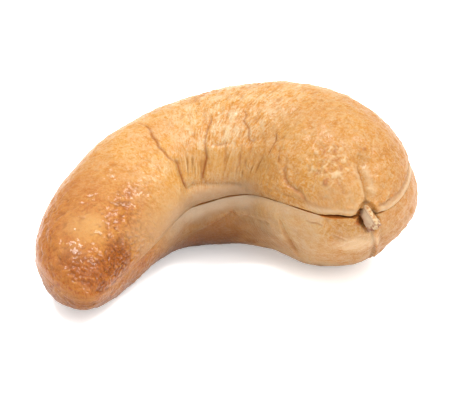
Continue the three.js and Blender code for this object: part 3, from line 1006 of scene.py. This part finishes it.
def make_root_tip(name, material):
    share, centre, heading, face, radius = root_frame()
    angle = np.linspace(0, 2 * np.pi, ROOT_SIDES, endpoint=False)
    around = np.cos(angle)[None, :, None] * face[:, None]
    around = around + np.sin(angle)[None, :, None] * np.cross(heading, face)[:, None]
    flat_cut = ROOT_FACE_AT / np.maximum(np.cos(angle), ROOT_FACE_AT)
    out = (radius[:, None] * flat_cut)[..., None] * around
    flat = (centre[:, None] + out).reshape(-1, 3)
    out /= np.maximum(np.linalg.norm(out, axis=2, keepdims=True), 1e-9)
    broken = np.repeat(step(share, 0.72, 0.95), ROOT_SIDES)
    bumps = ROOT_BUMPS * rough(flat, 0.3, 31) + BROKEN_BUMPS * broken * rough(flat, 0.3, 34)
    drop = BROKEN_DROP * np.repeat(step(share, 0.9, 1), ROOT_SIDES) * rough(flat, 0.35, 37)
    flat = flat + out.reshape(-1, 3) * bumps[:, None] + np.repeat(heading, ROOT_SIDES, axis=0) * drop[:, None]
    points, quads, corners = closed_loft(flat.reshape(out.shape)[:, ::-1])
    on_face = step(np.cos(angle), ROOT_FACE_AT - 0.05, ROOT_FACE_AT + 0.08)
    lengthwise = np.stack([
        np.repeat(share, ROOT_SIDES) * 1.2,
        np.tile(angle, len(share)) * 2.5,
        np.zeros(len(flat)),
    ], axis=1)
    masks = {
        "face": np.append(np.tile(on_face[::-1], len(share)) * (1 - broken), [0, 0]),
        "broken": np.append(broken, [0, 1]),
        "streak": np.append(rough(lengthwise, 0.6, 43), [0, 0]),
        # painted shade down one side of the root tip
        "shaded": np.append(np.clip(np.tile(-np.sin(angle), len(share)), 0, 1), [0, 0]),
    }
    return make_mesh(name, points, quads, corners, masks, material)


# Colours

CREAM = linear("ffe2b4")
GOLD = linear("f3ae50")
TAN = linear("eda552")
TOASTED = linear("dc9038")
AMBER = linear("b4560f")
RUST_AND_VALLEY_SHADE = linear("7e3b10")
BEIGE = linear("d4ae88")
PALE = linear("fcdcb0")
ORANGE = linear("e29040")
LUMP_FOOT = linear("e08a2c")
DENT_SHADE = linear("c67a2a")
TIP_LIGHT = linear("f4bc70")
TIP_DEEP = linear("b4560c")
TIP_BRIGHT = linear("dc8a2c")
TIP_PINK = linear("d4883e")
TIP_RIDGE_HIGHLIGHT = linear("eca850")
TIP_SPECK = linear("f0b458")
HEAD_FLECK = linear("c8782c")
HEAD_FLESH = linear("d29040")
FLANK = linear("e6b47c")
OUTER_SIDE = linear("c06a1c")
LOW_FRONT = linear("f2cc96")
SMOOTH_LOBE = linear("cf9e68")
SLOPE = linear("d8a05c")
PLEAT_FOOT_SHADE = linear("b4702c")
UNDERSIDE_SHADE = linear("6e3812")
ROOF_SHADE = linear("b0682c")
LOW_LIP = linear("dcbea0")
CRUMB_FOOT = linear("b4602a")
CREASE_SHADE_AND_TORN_FLESH = linear("b4560e")
HOLE_SHADE = linear("96501e")
SLIT_WALL = linear("c07a38", 0.68)
ROOT_GREY = linear("bfa07c", 0.5)
ROOT_TAN = linear("d08c40")
ROOT_CREAM = linear("f2d09a")
ROOT_RUST_AND_SHADE = linear("984e1e")
PAPER = (0.92, 0.92, 0.92, 1)


# Finishes

def seed_leaf_finish(name):
    """Peeled flesh, gold with cream grain: each layer is a colour and how much of it lies over the ones
    before it."""
    finish = Finish(name)
    mask, mix, between = finish.mask, finish.mix, finish.between
    fibre = finish.flow_noise(0.2, 0.42, 4, 1.3)
    fleck = finish.noise(0.16, 4, 0.6)
    patch = finish.noise(0.8, 5, 0.5)
    grain = fibre * 0.4 + fleck * 0.3 + patch * 0.3
    specks = finish.noise(0.3, 3)
    head_grain = finish.noise(0.24, 3, 1.2)
    tip, tip_light, tip_dark, tip_pink = finish.masks("tip", "tip_light", "tip_dark", "tip_pink")
    middle, head, crumb_land, low, pale = finish.masks("middle", "head", "crumb_land", "low", "pale")
    relief, lumps, pleats, crumbs = finish.masks("relief", "lumps", "pleats", "crumbs")
    grainy_head = head * (0.35 + crumb_land * 0.65)
    tip_flesh = mix(TIP_DEEP, TIP_BRIGHT, between(grain, 0.42, 0.58))
    dark_flesh = mix(RUST_AND_VALLEY_SHADE, AMBER, between(grain, 0.42, 0.56))
    pink_flesh = mix(TIP_PINK, AMBER, between(grain, 0.5, 0.4))
    layers = [
        (ORANGE, mask("right") * 0.7),
        (CREAM, between(grain, 0.42, 0.6) * (0.5 + middle * 0.3) * (1 - tip * 0.8)),
        (TOASTED, between(grain, 0.48, 0.4) * (0.45 + middle * 0.15)),
        (CREAM, between(lumps, 0.0, 0.7) * 0.3),
        (LUMP_FOOT, between(lumps, -0.1, -0.8) * 0.3),
        # painted shade in the dents of the fine relief, away from the tip
        (DENT_SHADE, between(relief, 0.0, -1.2) * (1 - tip) * 0.35),
        (TIP_LIGHT, tip_light * 0.7),
        (tip_flesh, tip * (1 - tip_light * 0.8) * 0.78),
        (dark_flesh, tip_dark * 0.7),
        (pink_flesh, tip_pink * 0.85),
        # painted highlights on the ridges of the tip's ripples, and painted shade in their valleys
        (TIP_RIDGE_HIGHLIGHT, between(relief, 0.3, 1.4) * tip * 0.3),
        (RUST_AND_VALLEY_SHADE, between(relief, -0.15, -1.0) * tip * 0.45),
        (TIP_SPECK, between(specks, 0.64, 0.7) * tip * 0.7),
        (CREAM, between(head_grain, 0.54, 0.64) * grainy_head * 0.5),
        (HEAD_FLECK, between(head_grain, 0.46, 0.36) * grainy_head * 0.5),
        (FLANK, mask("flank") * 0.65),
        (OUTER_SIDE, mask("outer") * 0.3),
        (HEAD_FLESH, crumb_land * head * 0.35),
        (LOW_FRONT, mask("low_front") * 0.4),
        (BEIGE, mask("lip") * 0.75),
        (SMOOTH_LOBE, mask("smooth") * 0.5),
        (SLOPE, mask("slope") * 0.45),
        (CREAM, between(pleats, 0.1, 0.8) * 0.3),
        # painted shade at the feet of the pleats
        (PLEAT_FOOT_SHADE, between(pleats, -0.05, -0.7) * 0.45),
        # painted shade on the skin that faces down
        (UNDERSIDE_SHADE, low * (1 - pale) * (1 - tip * 0.4) * 0.9),
        (ROOF_SHADE, mask("under_roof") * 0.28),
        (LOW_LIP, mask("low_lip") * 0.75),
        # painted highlights along the rims of the cleft
        (PALE, mask("cleft_rim_highlight") * 0.45),
        (PALE, pale * 0.6),
        (CREAM, between(crumbs, 0.1, 0.6) * 0.5),
        (CRUMB_FOOT, between(crumbs, -0.1, -0.7) * 0.6),
        # painted shade in the bottoms of the creases, and the darker torn flesh by the root tip
        (CREASE_SHADE_AND_TORN_FLESH, mask("crease") * 0.85),
        # painted shade in the hole by the root tip and in the seat of the tip
        (HOLE_SHADE, mask("hole") * 0.75),
        (SLIT_WALL, mask("inside")),
    ]
    base = mix(TAN, GOLD, between(finish.noise(2.4, 3), 0.35, 0.65))
    for colour, amount in layers:
        base = mix(base, colour, amount)
    return finish.surface({
        "Base Color": base,
        "Roughness": 0.46 - tip * 0.1,
        "Normal": finish.bump(fleck * 0.6 + patch * 0.4, 0.11),
        "Specular IOR Level": 0.08,
        "Coat Weight": (0.1 + tip * 0.16 + mask("shiny") * 0.16) * (1 - low * 0.7),
        "Coat Roughness": 0.13,
        "Subsurface Weight": 0.25,
        "Subsurface Radius": (1.0, 0.5, 0.25),
        "Subsurface Scale": 0.0008,
    })


def root_tip_finish():
    """Dry and matt: a grey cut side, rust in its streaks, painted shade in rust brown down one side, and
    rusty crumbs at the broken tip.
    """
    finish = Finish("dry_root_tip")
    mask, mix, between = finish.mask, finish.mix, finish.between
    fleck = finish.noise(0.22, 4)
    base = mix(ROOT_TAN, ROOT_CREAM, between(fleck, 0.42, 0.6))
    base = mix(base, ROOT_GREY, mask("face"))
    base = mix(base, ROOT_RUST_AND_SHADE, between(mask("streak"), 0.1, 0.7) * 0.5)
    # painted shade down one side
    base = mix(base, ROOT_RUST_AND_SHADE, mask("shaded") * 0.6)
    base = mix(base, ROOT_RUST_AND_SHADE, mask("broken") * between(fleck, 0.55, 0.45) * 0.9)
    return finish.surface({
        "Base Color": base,
        "Roughness": 0.6,
        "Normal": finish.bump(finish.noise(0.1, 4), 0.03),
    })


def floor_finish():
    return Finish("pale_paper").surface({
        "Base Color": PAPER,
        "Roughness": 0.9,
        "Specular IOR Level": 0.2,
        "Emission Color": WHITE,
        "Emission Strength": 0.35,
    })


# Making

FLOOR_SIZE = 3000


def make_floor():
    corners = np.array([(-1, -1, 0), (1, -1, 0), (1, 1, 0), (-1, 1, 0)]) * FLOOR_SIZE / 2
    one_quad = np.array([[0, 1, 2, 3]])
    floor = make_mesh("floor", corners, one_quad, np.zeros((0, 3), int), {}, floor_finish())


def dress(piece, node):
    """The piece stands for a node of the frame, whose imported part is hidden, and rides on the body."""
    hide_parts(node)
    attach(piece, BODY)


make_camera()
make_floor()
make_light()
dress(make_half("upper_seed_leaf", 1, seed_leaf_finish("upper_leaf_flesh")), "upper_cotyledon")
dress(make_half("lower_seed_leaf", -1, seed_leaf_finish("lower_leaf_flesh")), "lower_cotyledon")
dress(make_root_tip("root_tip", root_tip_finish()), "radicle")
